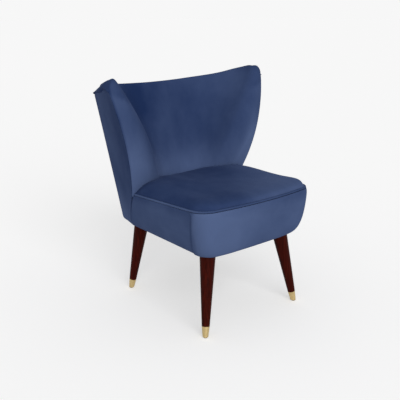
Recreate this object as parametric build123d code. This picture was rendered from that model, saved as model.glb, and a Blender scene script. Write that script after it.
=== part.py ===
from build123d import *
import os
from math import atan2, cos, radians, sin, sqrt, tan

# A winged cocktail chair in velvet: a fixed sprung seat with a piped edge, one
# curved back with wings, and four splayed tapered legs with brass ferrules.
# Millimetres. X to the right seen from the front, front at -Y, Z up, floor at 0.
# Left and right are as seen by someone standing in front of the chair.

# Driving dimensions of the seat
seat_underside = 268.0
seat_half_width = 245.0
seat_base_half_width = 209.0
seat_front = 313.0
seat_base_front = 278.0
seat_piping_height = 411.0
seat_pitch = 3.6
seat_corner_radius = 60.0
seat_base_corner_radius = 45.0
seat_front_bow_radius = 1180.0
seat_base_bow_radius = 2500.0
seat_side_bulge = 7.0
seat_crown = 30.0
crown_reach = 66.0
crown_steps = 4
bulge_rise = 6.0
piping_radius = 4.0

# Driving dimensions of the back
wing_half_width = 334.0
wing_tip_height = 797.0
wing_tip_inset = 22.0
back_middle_height = 747.0
back_top_half_flat = 175.0
back_top_slope = 25.0
wing_front = 58.0
wing_front_bow = 33.0
wing_front_at_seat = 73.0
wing_seam_base = 139.0
inside_back_at_seat = 157.0
inside_back_recline = 13.2
outside_back_base = 256.6
outside_back_recline = 7.6
wing_seam_drop = 34.0
wing_overhang = 4.0
wing_seam_bulge = 2.0
tuck_share = 0.426
tuck_half_width = 200.0

# Plan of the wing's front and the inside back, each value given at the seat,
# halfway up and at the top of the wing's seam
roll_inward = (28.0, 43.0, 27.0)
roll_forward = (3.0, 8.0, 13.0)
shoulder_inward = (132.0, 114.0, 58.0)
shoulder_back = (27.0, 32.0, 20.0)
haunch_inward = (29.0, 16.0, 20.0)
haunch_back = (25.0, 53.0, 72.0)
flank_inward = (43.0, 56.0, 92.0)
flank_forward = (10.0, 11.0, 14.0)

# Plan of the rear corners, each value given at the underside with its growth to the top
corner_x_inset_base = 14.0
corner_x_inset_top = 50.0
corner_start_depth = (47.0, 35.0)
corner_middle_inward = (9.0, 13.0)
corner_middle_depth = (17.0, 23.0)
corner_end_inward = (43.0, 36.0)
corner_end_depth = (5.0, 7.0)

# Front view of the sloping top
roof_start_back = 17.0
ridge_back = 14.0
haunch_share = 0.62
haunch_rise = 4.0
knuckle_out = 15.0
knuckle_down = 13.0
roof_edge_out = 4.0
roof_edge_down = 42.0
roof_side_out = 40.0
roof_side_down = 160.0
roof_headroom = 200.0

# Driving dimensions of the covers and padding
cover_thickness = 2.5
clearance = 0.3
hem_width = 30.0
corner_seam_top = 243.0
corner_seam_base = 215.0
wadding_thickness = 5.0
frame_space = 30.0
frame_margin = 35.0
wadding_margin = 39.0
wadding_rise = 8.0
foam_ease = 0.8
seat_foam_ease = 0.9
felt_thickness = 3.0
felt_margin = 1.0
dust_cover_thickness = 1.0
dust_cover_margin = 3.0

# Driving dimensions of the frame
rail_thickness = 20.0
rail_height = 74.0
side_rail_inset = 21.0
front_rail_inset = 12.0
rear_rail_inset = 33.6
corner_block_leg = 92.0
corner_block_height = 52.0
post_width = 36.0
post_thickness = 24.0
back_post_setback = 11.0
back_post_top_inset = 144.0
back_post_depth = 33.8
back_post_drop = 35.0
wing_post_back = 3.0
wing_post_top_inset = 50.0
wing_post_setback = 32.0
wing_post_drop = 31.0
top_rail_height = 36.0
lower_rail_height = 40.0
lower_rail_rise = 100.0
cross_rail_thickness = 20.0
wing_post_thickness = 18.0
wing_rail_height = 30.0
wing_rail_thickness = 18.0
wing_rail_rear_drop = 22.0
wing_rail_front_drop = 20.0
strap_width = 50.0
strap_thickness = 2.0
strap_count = 3

# Driving dimensions of the springs
spring_wire = 3.6
spring_count = 4
spring_spacing = 56.0
spring_half_width = 15.0
spring_pitch = 22.0
clip_width = 16.0
clip_length = 9.0
clip_thickness = 1.2

# Driving dimensions of the legs
front_leg_top_inset = 25.0
rear_leg_top_inset = 32.0
front_leg_inset = 45.0
rear_leg_inset = 64.0
front_splay_x = 44.5
front_splay_y = 43.0
rear_splay_x = 30.0
rear_splay_y = 39.0
leg_top_radius = 26.3
leg_ferrule_radius = 13.0
leg_foot_radius = 9.2
ferrule_height = 37.0
ferrule_wall = 1.0
ferrule_floor = 2.0
glide_radius = 6.5
glide_height = 3.0
glide_pin_radius = 2.0
glide_pin_length = 12.0
bolt_radius = 4.0
bolt_in_leg = 38.0
bolt_above_leg = 52.0
nut_depth = 14.0
nut_seat = 40.0
nut_radius = 5.2
nut_flange_radius = 7.4
nut_flange_thickness = 1.6

# Driving dimensions of the small fasteners
dowel_radius = 4.0
dowel_length = 36.0
dowel_shares = (0.28, 0.72)
dowel_depth = 0.75
block_screw_radius = 2.2
block_screw_head_radius = 4.2
block_screw_head_height = 2.6
block_screw_grip = 14.0
screw_place = 0.66
screw_head_share = 0.6
staple_length = 12.0
staple_width = 1.2
staple_thickness = 0.6
staples_per_side = 5
staple_inset = 16.0
staple_leg_gap = 48.0

# Levels that follow from the sizes above
rail_base = seat_underside + cover_thickness + clearance
rail_top = rail_base + rail_height
spring_axis = rail_top + spring_wire / 2
felt_base = rail_top + spring_wire + clearance
bulge_height = (seat_underside + seat_piping_height) / 2 + bulge_rise
foam_base = felt_base + felt_thickness + clearance
back_base = rail_top + tuck_share * (seat_piping_height - rail_top)
tuck_depth = seat_piping_height - back_base
seam_top = wing_tip_height - wing_seam_drop
leg_top = seat_underside - dust_cover_thickness

# Places of the frame and the legs, each held in from the cover outside it
side_rail_half_spacing = seat_base_half_width - side_rail_inset
front_rail_face = seat_base_front - front_rail_inset
rear_rail_face = outside_back_base - rear_rail_inset
back_post_base_x = side_rail_half_spacing - post_width
back_post_base_y = rear_rail_face - back_post_setback
back_post_top = back_middle_height - back_post_drop
back_post_top_x = wing_half_width - back_post_top_inset
outside_rise = tan(radians(outside_back_recline)) * (back_post_top - seat_underside)
back_post_top_y = outside_back_base + outside_rise - back_post_depth
wing_post_base_y = wing_seam_base + wing_post_back
wing_post_top_x = wing_half_width - wing_post_top_inset
wing_post_top_y = wing_front + wing_post_setback
wing_post_top = seam_top - wing_post_drop
wing_rail_rear = back_post_top - wing_rail_rear_drop
wing_rail_front = wing_post_top - wing_rail_front_drop
front_leg_top_x = side_rail_half_spacing - front_leg_top_inset
rear_leg_top_x = side_rail_half_spacing - rear_leg_top_inset
front_leg_top = front_rail_face - front_leg_inset
rear_leg_top = rear_rail_face - rear_leg_inset
front_foot_x = front_leg_top_x + front_splay_x
front_foot_y = front_leg_top + front_splay_y
rear_foot_x = rear_leg_top_x + rear_splay_x
rear_foot_y = rear_leg_top + rear_splay_y
far = 1000.0
past = 10.0


def line(a, b):
    return Edge.make_line(a, b)


def arc(a, b, c):
    return Edge.make_three_point_arc(a, b, c)


def mirrored(point):
    return (-point[0], point[1])


def at_height(points, z):
    return [(x, y, z) for x, y in points]


def block(x0, x1, y0, y1, z0, z1):
    return Pos((x0 + x1) / 2, (y0 + y1) / 2, (z0 + z1) / 2) * Box(x1 - x0, y1 - y0, z1 - z0)


def rod(start, end, radius):
    axis = Vector(end) - Vector(start)
    return Solid.make_cylinder(radius, axis.length, Plane(origin=start, z_dir=axis))


def side_region(points):
    # a solid as wide as the chair whose side view is the polygon of (y, z) points
    face = Face(Wire.make_polygon([(-far, y, z) for y, z in points], close=True))
    return Solid.extrude(face, Vector(2 * far, 0, 0))


# The seat: outlines of tangent lines and arcs, lofted from the underside to the piping
seat_plane = Plane(
    origin=(0, 0, seat_piping_height),
    x_dir=(1, 0, 0),
    z_dir=(0, sin(radians(seat_pitch)), cos(radians(seat_pitch))),
)


def seat_edges(half_width, front, corner, bow, rear):
    # right side, right corner, front bow, left corner and left side, in plan
    bow_centre = bow - front
    reach = half_width - corner
    corner_y = bow_centre - sqrt((bow - corner) ** 2 - reach**2)
    grow = bow / (bow - corner)
    touch = (reach * grow, bow_centre + (corner_y - bow_centre) * grow)
    turn = atan2(touch[1] - corner_y, touch[0] - reach) / 2
    middle = (reach + corner * cos(turn), corner_y + corner * sin(turn))
    side = (half_width, corner_y)
    back = (half_width, rear)
    return [
        line(back, side),
        arc(side, middle, touch),
        arc(touch, (0, -front), mirrored(touch)),
        arc(mirrored(touch), mirrored(middle), mirrored(side)),
        line(mirrored(side), mirrored(back)),
    ]


def seat_wire(half_width, front, corner, bow, rear, plane):
    edges = seat_edges(half_width, front, corner, bow, rear)
    edges.append(line((-half_width, rear), (half_width, rear)))
    return plane.from_local_coords(Wire(edges))


def seat_base_wire(inset, rear, z):
    return seat_wire(
        seat_base_half_width - inset,
        seat_base_front - inset,
        seat_base_corner_radius,
        seat_base_bow_radius - inset,
        rear,
        Plane.XY.offset(z),
    )


def seat_top_wire(inset, rear, rise):
    return seat_wire(
        seat_half_width - inset,
        seat_front - inset,
        seat_corner_radius,
        seat_front_bow_radius - inset,
        rear,
        seat_plane.offset(rise),
    )


def seat_body(inset, rear, lift, rise):
    # the boxed sides of the seat, which lean out to the piping and bulge a little
    middle = (
        (seat_half_width + seat_base_half_width) / 2 + seat_side_bulge - inset,
        (seat_front + seat_base_front) / 2 + seat_side_bulge - inset,
        (seat_corner_radius + seat_base_corner_radius) / 2,
        (seat_front_bow_radius + seat_base_bow_radius) / 2 - inset,
    )
    return Solid.make_loft([
        seat_base_wire(inset, rear, seat_underside + lift),
        seat_wire(*middle, rear, Plane.XY.offset(bulge_height)),
        seat_top_wire(inset, rear, rise),
    ])


def seat_dome(inset, rear, drop):
    # the crown of the seat above the piping, a quarter of an ellipse in section
    wires = []
    for step in range(crown_steps + 1):
        angle = radians(90.0 * step / crown_steps)
        reach = crown_reach * (1 - cos(angle))
        wires.append(seat_top_wire(inset + reach, rear, seat_crown * sin(angle) - drop))
    return Solid.make_loft(wires)


def piping_tube(radius, rear):
    path = seat_plane.from_local_coords(Wire(
        seat_edges(seat_half_width, seat_front, seat_corner_radius, seat_front_bow_radius, rear)
    ))
    start = seat_plane.from_local_coords(Vector(seat_half_width, rear, 0))
    ring = Face(Wire.make_circle(radius, Plane(origin=start, z_dir=path % 0)))
    return Solid.sweep(ring, path)


# The back: plan sections of lines and arcs at several heights, then a sloping top
# Each point of the right half is given at the seat, halfway up and at the wing seam's top.
def blended(z, values):
    at_seat, halfway, at_top = values
    t = max(0.0, (z - seat_piping_height) / (seam_top - seat_piping_height))
    low = (2 * t - 1) * (t - 1)
    middle = 4 * t * (1 - t)
    high = t * (2 * t - 1)
    return at_seat * low + halfway * middle + at_top * high


def leaning(z, base, angle, from_height):
    return base + tan(radians(angle)) * (z - from_height)


def unit(x, y):
    length = sqrt(x * x + y * y)
    return (x / length, y / length)


def moved(point, direction, distance):
    return (point[0] + direction[0] * distance, point[1] + direction[1] * distance)


def seam_point(z):
    # the line where the front of the wing meets the outside cover
    seat_x = seat_half_width + wing_overhang
    if z < seat_piping_height:
        share = (seat_piping_height - z) / (seat_piping_height - seat_underside)
        x = seat_x - share * (seat_x - seat_base_half_width + wing_overhang)
        y = wing_front_at_seat + share * (wing_seam_base - wing_front_at_seat)
        return (x, y)
    halfway_x = (seat_x + wing_half_width) / 2 + wing_seam_bulge
    halfway_y = (wing_front_at_seat + wing_front) / 2 - wing_front_bow
    x = blended(z, (seat_x, halfway_x, wing_half_width))
    y = blended(z, (wing_front_at_seat, halfway_y, wing_front))
    return (x, y)


def growing(pair, share):
    return pair[0] + pair[1] * share


def outer_points(z):
    # seam, start, middle and end of the rear corner, and the middle of the outside back
    rear = leaning(z, outside_back_base, outside_back_recline, seat_underside)
    share = (z - seat_underside) / (seam_top - seat_underside)
    corner_x = seat_base_half_width - corner_x_inset_base
    corner_x += share * (wing_half_width - corner_x_inset_top - corner_x)
    start = (corner_x, rear - growing(corner_start_depth, share))
    middle_x = corner_x - growing(corner_middle_inward, share)
    middle = (middle_x, rear - growing(corner_middle_depth, share))
    end_x = corner_x - growing(corner_end_inward, share)
    end = (end_x, rear - growing(corner_end_depth, share))
    return [seam_point(z), start, middle, end, (0.0, rear)]


def outer_normals(points):
    # inward directions at the five points of the outer side
    along = unit(points[1][0] - points[0][0], points[1][1] - points[0][1])
    wall = (-along[1], along[0])
    return [wall, wall, unit(wall[0], wall[1] - 1.0), (0.0, -1.0), (0.0, -1.0)]


def inner_points(z):
    # front of the roll, shoulder, haunch, flank and middle of the inside back
    seam = seam_point(z)
    middle = leaning(z, inside_back_at_seat, inside_back_recline, seat_piping_height)
    roll = (seam[0] - blended(z, roll_inward), seam[1] - blended(z, roll_forward))
    shoulder = (seam[0] - blended(z, shoulder_inward), seam[1] + blended(z, shoulder_back))
    haunch = (shoulder[0] - blended(z, haunch_inward), shoulder[1] + blended(z, haunch_back))
    flank = (haunch[0] - blended(z, flank_inward), middle - blended(z, flank_forward))
    return [roll, shoulder, haunch, flank, (0.0, middle)]


def inner_normals(points, seam):
    # directions into the padding at the five points of the inner side
    row = [seam] + points
    normals = []
    for before, after in zip(row, row[2:]):
        normals.append(unit(after[1] - before[1], before[0] - after[0]))
    return normals + [(0.0, 1.0)]


def inset_seam(outer, wall, inset):
    # the seam edge moves along the line between its two faces
    direction = unit(wall[0], wall[1] + 1.0)
    depth = direction[0] * wall[0] + direction[1] * wall[1]
    return moved(outer[0], direction, inset / depth)


def inset_inside(z, inset):
    points = inner_points(z)
    normals = inner_normals(points, seam_point(z))
    return [moved(p, n, inset) for p, n in zip(points, normals)]


def back_section(z, inset):
    outer = outer_points(z)
    wall = outer_normals(outer)
    outside = [inset_seam(outer, wall[0], inset)]
    outside += [moved(p, n, inset) for p, n in zip(outer[1:], wall[1:])]
    inside = inset_inside(z, inset)
    right_out = at_height(outside, z)
    left_out = at_height([mirrored(p) for p in outside], z)
    right_in = at_height(inside, z)
    left_in = at_height([mirrored(p) for p in inside], z)
    return Wire([
        arc(left_in[3], right_in[4], right_in[3]),
        arc(right_in[3], right_in[2], right_in[1]),
        arc(right_in[1], right_in[0], right_out[0]),
        line(right_out[0], right_out[1]),
        arc(right_out[1], right_out[2], right_out[3]),
        arc(right_out[3], right_out[4], left_out[3]),
        arc(left_out[3], left_out[2], left_out[1]),
        line(left_out[1], left_out[0]),
        arc(left_out[0], left_in[0], left_in[1]),
        arc(left_in[1], left_in[2], left_in[3]),
    ])


back_levels = [0.0, 0.25, 0.5, 0.75, 1.0]
back_ceiling = wing_tip_height + past


def level(base, share):
    return base + share * (back_ceiling - base)


def above_roof(drop):
    # what lies above the sloping top of the back, lowered by drop
    slope = tan(radians(back_top_slope))
    reference = wing_front + roof_start_back
    ridge = leaning(back_middle_height, inside_back_at_seat, inside_back_recline, seat_piping_height)
    crown = back_middle_height + slope * (ridge + ridge_back - reference) - drop
    tip = (wing_half_width - wing_tip_inset, wing_tip_height - drop)
    haunch_x = back_top_half_flat + haunch_share * (tip[0] - back_top_half_flat)
    haunch = (haunch_x, (crown + tip[1]) / 2 + haunch_rise)
    edge = (wing_half_width + roof_edge_out - drop, tip[1] - roof_edge_down)
    knuckle = (tip[0] + knuckle_out - drop / 2, tip[1] - knuckle_down)
    outer = (wing_half_width + roof_side_out, wing_tip_height - roof_side_down)

    def spot(x, z):
        run = reference + far * cos(radians(back_top_slope))
        return (x, reference - run, z + slope * run)

    right = [(back_top_half_flat, crown), haunch, tip, knuckle, edge, outer]
    right_spots = [spot(x, z) for x, z in right]
    left_spots = [spot(-x, z) for x, z in right]
    high = crown + roof_headroom
    profile = Wire([
        line(left_spots[0], right_spots[0]),
        arc(right_spots[0], right_spots[1], right_spots[2]),
        arc(right_spots[2], right_spots[3], right_spots[4]),
        line(right_spots[4], right_spots[5]),
        line(right_spots[5], spot(right[5][0], high)),
        line(spot(right[5][0], high), spot(-right[5][0], high)),
        line(spot(-right[5][0], high), left_spots[5]),
        line(left_spots[5], left_spots[4]),
        arc(left_spots[4], left_spots[3], left_spots[2]),
        arc(left_spots[2], left_spots[1], left_spots[0]),
    ])
    run = Vector(0, 1, -slope).normalized() * (3 * far)
    return Solid.extrude(Face(profile), run)


def lowered_roof(drop):
    return Pos(0, 0, -drop) * above_roof(0)


def back_body(inset, base):
    # the tuck below the seat's edge, and the visible back above it
    tuck = Solid.make_loft([back_section(z, inset) for z in (base, seat_piping_height)], True)
    heights = [level(seat_piping_height, share) for share in back_levels]
    upper = Solid.make_loft([back_section(z, inset) for z in heights])
    return upper - above_roof(inset) + tuck


def strip_section(z, outside, inside, start):
    # a band along the outer side of the back, from one depth to another
    points = outer_points(z)
    normals = outer_normals(points)
    along = unit(points[1][0] - points[0][0], points[1][1] - points[0][1])
    points[0] = moved(points[0], along, start)
    outer = [moved(p, n, outside) for p, n in zip(points, normals)]
    inner = [moved(p, n, inside) for p, n in zip(points, normals)]
    out_right = at_height(outer, z)
    out_left = at_height([mirrored(p) for p in outer], z)
    in_right = at_height(inner, z)
    in_left = at_height([mirrored(p) for p in inner], z)
    return Wire([
        line(out_right[0], out_right[1]),
        arc(out_right[1], out_right[2], out_right[3]),
        arc(out_right[3], out_right[4], out_left[3]),
        arc(out_left[3], out_left[2], out_left[1]),
        line(out_left[1], out_left[0]),
        line(out_left[0], in_left[0]),
        line(in_left[0], in_left[1]),
        arc(in_left[1], in_left[2], in_left[3]),
        arc(in_left[3], in_right[4], in_right[3]),
        arc(in_right[3], in_right[2], in_right[1]),
        line(in_right[1], in_right[0]),
        line(in_right[0], out_right[0]),
    ])


def strip(outside, inside, start, base, roof):
    upper_base = max(base, seat_piping_height)
    heights = [level(upper_base, share) for share in back_levels]
    upper = Solid.make_loft([strip_section(z, outside, inside, start) for z in heights])
    upper = upper - roof
    if base >= seat_piping_height:
        return upper
    lower_heights = [base, (base + seat_piping_height) / 2, seat_piping_height]
    lower = Solid.make_loft([strip_section(z, outside, inside, start) for z in lower_heights])
    return upper + lower


# The frame: straight beams between named points
def beam(start, end, width, thickness, across, grow=0.0, overrun=0.0):
    axis = (Vector(end) - Vector(start)).normalized()
    origin = Vector(start) - axis * overrun
    length = (Vector(end) - Vector(start)).length + 2 * overrun
    plane = Plane(origin=origin, x_dir=across, z_dir=axis)
    return plane * Pos(0, 0, length / 2) * Box(width + 2 * grow, thickness + 2 * grow, length)


def between_heights(solid, low, high):
    return solid & block(-far, far, -far, far, low, high)


side_rail_inner = side_rail_half_spacing - rail_thickness
front_rail_inner = front_rail_face - rail_thickness
rear_rail_inner = rear_rail_face - rail_thickness
wing_post_base_x = side_rail_half_spacing - rail_thickness / 2
side_sign = {"left": -1, "right": 1}


def back_post(sign, grow=0.0):
    start = (sign * back_post_base_x, back_post_base_y, rail_top)
    end = (sign * back_post_top_x, back_post_top_y, back_post_top)
    post = beam(start, end, post_width, post_thickness, (1, 0, 0), grow, post_width)
    return between_heights(post, rail_top, back_post_top + grow)


def wing_post(sign, grow=0.0):
    start = (sign * wing_post_base_x, wing_post_base_y, rail_top)
    end = (sign * wing_post_top_x, wing_post_top_y, wing_post_top)
    post = beam(start, end, post_width, wing_post_thickness, (0, 1, 0), grow, post_width)
    return between_heights(post, rail_top, wing_post_top + grow)


def on_back_post(height):
    # the middle of the right back post at a height
    share = (height - rail_top) / (back_post_top - rail_top)
    x = back_post_base_x + share * (back_post_top_x - back_post_base_x)
    y = back_post_base_y + share * (back_post_top_y - back_post_base_y)
    return (x, y)


post_lean = atan2(back_post_top_y - back_post_base_y, back_post_top - rail_top)
lean_up = (0, sin(post_lean), cos(post_lean))


def cross_rail(height, size, grow=0.0):
    x, y = on_back_post(height)
    return beam((-x, y, height), (x, y, height), size, cross_rail_thickness, lean_up, grow)


def wing_rail(sign, grow=0.0):
    x, y = on_back_post(wing_rail_rear)
    start = (sign * x, y, wing_rail_rear)
    end = (sign * wing_post_top_x, wing_post_top_y, wing_rail_front)
    return beam(start, end, wing_rail_height, wing_rail_thickness, (0, 0, 1), grow)


def back_strap(height, grow=0.0):
    x, y = on_back_post(height)
    reach = x + post_width / 2
    depth = (post_thickness + strap_thickness) / 2
    y = y - depth / cos(post_lean)
    return beam((-reach, y, height), (reach, y, height), strap_width, strap_thickness, lean_up, grow)


lower_rail_level = rail_top + lower_rail_rise
top_rail_level = back_post_top - top_rail_height / 2
strap_gap = (top_rail_level - lower_rail_level) / (strap_count + 1)
strap_levels = [lower_rail_level + strap_gap * (i + 1) for i in range(strap_count)]


def back_frame(grow):
    pieces = []
    for sign in side_sign.values():
        pieces += [back_post(sign, grow), wing_post(sign, grow), wing_rail(sign, grow)]
    pieces.append(cross_rail(top_rail_level, top_rail_height, grow))
    pieces.append(cross_rail(lower_rail_level, lower_rail_height, grow))
    pieces += [back_strap(height, grow) for height in strap_levels]
    return pieces


def without(solid, cutters):
    for cutter in cutters:
        solid = solid - cutter
    return solid


# The legs: each stands on its own leaning axis
leg_places = {
    "front_left": (-1, front_leg_top_x, -front_leg_top, front_foot_x, -front_foot_y),
    "front_right": (1, front_leg_top_x, -front_leg_top, front_foot_x, -front_foot_y),
    "rear_left": (-1, rear_leg_top_x, rear_leg_top, rear_foot_x, rear_foot_y),
    "rear_right": (1, rear_leg_top_x, rear_leg_top, rear_foot_x, rear_foot_y),
}


def leg_axis(corner):
    sign, top_x, top_y, foot_x, foot_y = leg_places[corner]
    foot = Vector(sign * foot_x, foot_y, 0)
    top = Vector(sign * top_x, top_y, leg_top)
    return foot, (top - foot).normalized(), (top - foot).length


def cone(foot, axis, start, end, start_radius, end_radius):
    plane = Plane(origin=foot + axis * start, z_dir=axis)
    return Solid.make_cone(start_radius, end_radius, end - start, plane)


def along(foot, axis, start, end, radius):
    return rod(foot + axis * start, foot + axis * end, radius)


def ferrule_radius(distance):
    return leg_foot_radius + (leg_ferrule_radius - leg_foot_radius) * distance / ferrule_height


def leg_pieces(corner):
    foot, axis, length = leg_axis(corner)
    over = leg_top_radius
    grow = (leg_top_radius - leg_ferrule_radius) / (length - ferrule_height)
    floor = glide_height + ferrule_floor
    sleeve = cone(foot, axis, -over, ferrule_height, ferrule_radius(-over), leg_ferrule_radius)
    bore_low = ferrule_radius(-over) - ferrule_wall
    bore_high = leg_ferrule_radius - ferrule_wall
    bore = cone(foot, axis, -over, ferrule_height, bore_low, bore_high)
    fit = clearance / 2
    tenon = cone(foot, axis, -over, ferrule_height, bore_low - fit, bore_high - fit)
    shaft = cone(
        foot, axis, ferrule_height, length + over, leg_ferrule_radius, leg_top_radius + grow * over
    )
    pin_end = floor + glide_pin_length
    pin_hole = rod((foot.X, foot.Y, 0), (foot.X, foot.Y, pin_end + fit), glide_pin_radius + fit)
    bolt_hole = along(foot, axis, length - bolt_in_leg - fit, length + over, bolt_radius + fit)
    leg = between_heights(shaft, 0, leg_top) + between_heights(tenon, floor + fit, leg_top)
    ferrule = between_heights(sleeve, glide_height, far) - between_heights(bore, floor, far)
    glide = rod((foot.X, foot.Y, 0), (foot.X, foot.Y, glide_height), glide_radius)
    glide = glide + rod((foot.X, foot.Y, 0), (foot.X, foot.Y, pin_end), glide_pin_radius)
    return leg - pin_hole - bolt_hole, ferrule - pin_hole, glide


def leg_bolt(corner, grow=0.0):
    foot, axis, length = leg_axis(corner)
    return along(foot, axis, length - bolt_in_leg, length + bolt_above_leg, bolt_radius + grow)


def leg_nut(corner, grow=0.0):
    foot, axis, length = leg_axis(corner)
    seat = length + nut_seat
    top = seat + nut_flange_thickness
    nut = along(foot, axis, seat - nut_depth, top, nut_radius + grow)
    nut = nut + along(foot, axis, seat, top, nut_flange_radius + grow)
    if grow == 0.0:
        nut = nut - leg_bolt(corner, clearance / 2)
    return nut


def nut_pocket(corner):
    # the hole of the bolt, the nut and the room above the nut's flange
    foot, axis, length = leg_axis(corner)
    fit = clearance / 2
    seat = length + nut_seat
    pocket = along(foot, axis, length - bolt_in_leg, seat, bolt_radius + fit)
    pocket = pocket + along(foot, axis, seat - nut_depth, seat, nut_radius + fit)
    return pocket + along(foot, axis, seat, seat + corner_block_height, nut_flange_radius + fit)


def corner_frame(corner):
    # the inside corner of two rails, and the directions away from it
    sign = leg_places[corner][0]
    if corner.startswith("front"):
        return sign * side_rail_inner, -front_rail_inner, -sign, 1
    return sign * side_rail_inner, rear_rail_inner, -sign, -1


def block_screw(corner, along_x, grow=0.0, pocket=False):
    x, y, dx, dy = corner_frame(corner)
    height = rail_base + corner_block_height / 2
    aside = corner_block_leg * screw_place
    head = corner_block_leg * (1 - screw_place) * screw_head_share
    depth = far if pocket else block_screw_head_height
    if along_x:
        place = Vector(x, y + dy * aside, height)
        run = Vector(dx, 0, 0)
    else:
        place = Vector(x + dx * aside, y, height)
        run = Vector(0, dy, 0)
    shank = rod(place - run * block_screw_grip, place + run * head, block_screw_radius + grow)
    return shank + rod(place + run * head, place + run * (head + depth), block_screw_head_radius + grow)


def corner_block(corner):
    x, y, dx, dy = corner_frame(corner)
    leg = corner_block_leg
    outline = Wire.make_polygon(
        [(x, y, rail_base), (x + dx * leg, y, rail_base), (x, y + dy * leg, rail_base)], close=True
    )
    solid = Solid.extrude(Face(outline), Vector(0, 0, corner_block_height))
    fit = clearance / 2
    solid = solid - nut_pocket(corner)
    solid = solid - block_screw(corner, True, fit, True)
    return solid - block_screw(corner, False, fit, True)


def rail_dowels(grow=0.0):
    dowels = []
    for sign in side_sign.values():
        x = sign * wing_post_base_x
        y = (rear_rail_face + rear_rail_inner) / 2
        for share in dowel_shares:
            z = rail_base + rail_height * share
            front = -front_rail_inner - rail_thickness * dowel_depth
            rear = front + dowel_length
            dowels.append(rod((x, front - grow, z), (x, rear + grow, z), dowel_radius + grow))
            outer = side_rail_inner + rail_thickness * dowel_depth
            inner = outer - dowel_length
            dowels.append(
                rod((sign * (inner - grow), y, z), (sign * (outer + grow), y, z), dowel_radius + grow)
            )
    return dowels


# The springs: sinuous wires from the front rail to the rear rail
front_clip_y = -(front_rail_face + front_rail_inner) / 2
rear_clip_y = (rear_rail_face + rear_rail_inner) / 2
spring_runs = round((rear_clip_y - front_clip_y) / spring_pitch)
run_gap = (rear_clip_y - front_clip_y) / spring_runs
spring_places = [(i - (spring_count - 1) / 2) * spring_spacing for i in range(spring_count)]


def seat_spring(x):
    edges = []
    for i in range(spring_runs + 1):
        y = front_clip_y + run_gap * i
        side = 1 if i % 2 == 0 else -1
        start = (x - side * spring_half_width, y, spring_axis)
        end = (x + side * spring_half_width, y, spring_axis)
        edges.append(line(start, end))
        if i < spring_runs:
            bend = (x + side * (spring_half_width + run_gap / 2), y + run_gap / 2, spring_axis)
            edges.append(arc(end, bend, (end[0], y + run_gap, spring_axis)))
    path = Wire(edges)
    ring = Face(Wire.make_circle(spring_wire / 2, Plane(origin=path @ 0, z_dir=path % 0)))
    return Solid.sweep(ring, path)


def spring_clip(x, y):
    top = rail_top + spring_wire + clip_thickness
    half = clip_width / 2
    clip = block(x - half, x + half, y - clip_length / 2, y + clip_length / 2, rail_top, top)
    fit = clearance / 3
    return clip - rod((x - far, y, spring_axis), (x + far, y, spring_axis), spring_wire / 2 + fit)


# Regions that part the covers from one another, as seen from the side
seam_overrun = 60.0
seam_run = (wing_seam_base - wing_front_at_seat) / (seat_piping_height - seat_underside)


def wing_seam_line(gap):
    # two (y, z) points on the slanting seam under the wing, past both its ends
    heights = (seat_underside - seam_overrun, seat_piping_height + seam_overrun)
    return [(wing_front_at_seat + seam_run * (seat_piping_height - z) - gap, z) for z in heights]


def ahead_of_wing_seam(gap):
    low, high = wing_seam_line(gap)
    return side_region([(-far, low[1]), low, high, (-far, high[1])])


def beside_wing(gap):
    # behind the slanting seam, and further out than the tucked part of the seat
    low, high = wing_seam_line(gap)
    behind = side_region([low, (far, low[1]), (far, high[1]), high])
    return behind - block(-tuck_half_width, tuck_half_width, -far, far, 0, far)


def ahead_of_corner_seam(gap):
    low = seat_underside - seam_overrun
    high = seat_piping_height + seam_overrun
    lean = (corner_seam_top - corner_seam_base) / (seat_piping_height - seat_underside)
    low_y = -corner_seam_base + lean * (seat_underside - low) - gap
    high_y = -corner_seam_base - lean * (high - seat_underside) - gap
    return side_region([(-far, low), (low_y, low), (high_y, high), (-far, high)])


nodes = {}

# Covers and padding of the back
back_room = back_body(-clearance, back_base - clearance)
back_cut = [back_room, beside_wing(clearance)]
lining = cover_thickness + clearance
outside_cover = strip(0, cover_thickness, lining, seat_underside, above_roof(lining))
hem_levels = [seat_underside, seat_underside + cover_thickness]
rear_hem = Solid.make_loft([strip_section(z, 0, hem_width, 2 * lining) for z in hem_levels])
nodes["outside_back_cover"] = outside_cover + rear_hem
inside_cover = back_body(0, back_base) - back_body(cover_thickness, back_base - past)
room_base = back_base - 2 * past
nodes["inside_back_cover"] = inside_cover - strip(
    -past, lining, cover_thickness, room_base, above_roof(cover_thickness)
)
room = strip(-past, frame_space, frame_margin, room_base, lowered_roof(frame_margin))
back_foam = back_body(lining + foam_ease, back_base) - room
nodes["back_foam"] = without(back_foam, back_frame(clearance))
wadding_roof = lowered_roof(wadding_margin)
nodes["outside_back_wadding"] = strip(
    lining, lining + wadding_thickness, wadding_margin, rail_top + wadding_rise, wadding_roof
)

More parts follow.
